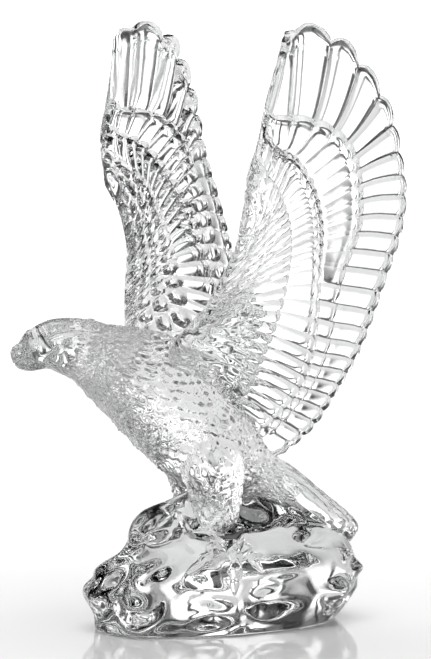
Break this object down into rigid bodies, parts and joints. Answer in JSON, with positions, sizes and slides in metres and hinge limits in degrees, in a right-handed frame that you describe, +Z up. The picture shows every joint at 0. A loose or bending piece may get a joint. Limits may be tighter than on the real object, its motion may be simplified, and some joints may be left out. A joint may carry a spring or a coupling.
{
  "type": "crystal eagle figurine",
  "caption": "Clear cast glass figurine of an eagle with raised, feathered wings, leaning forward from a craggy rock base; it stands on its flat underside as an ornament.",
  "frame": {"origin": "middle of the rock's flat underside, on the surface that the figurine stands on", "axes": "+Z up, -Y the way the eagle faces, +X its left wing"},
  "size_m": [0.1572, 0.1533, 0.2331],
  "materials": {
    "crystal": "clear, fire-polished cast crystal"
  },
  "bodies": {
    "root": {"crystal_eagle": "crystal"}
  },
  "joints": []
}
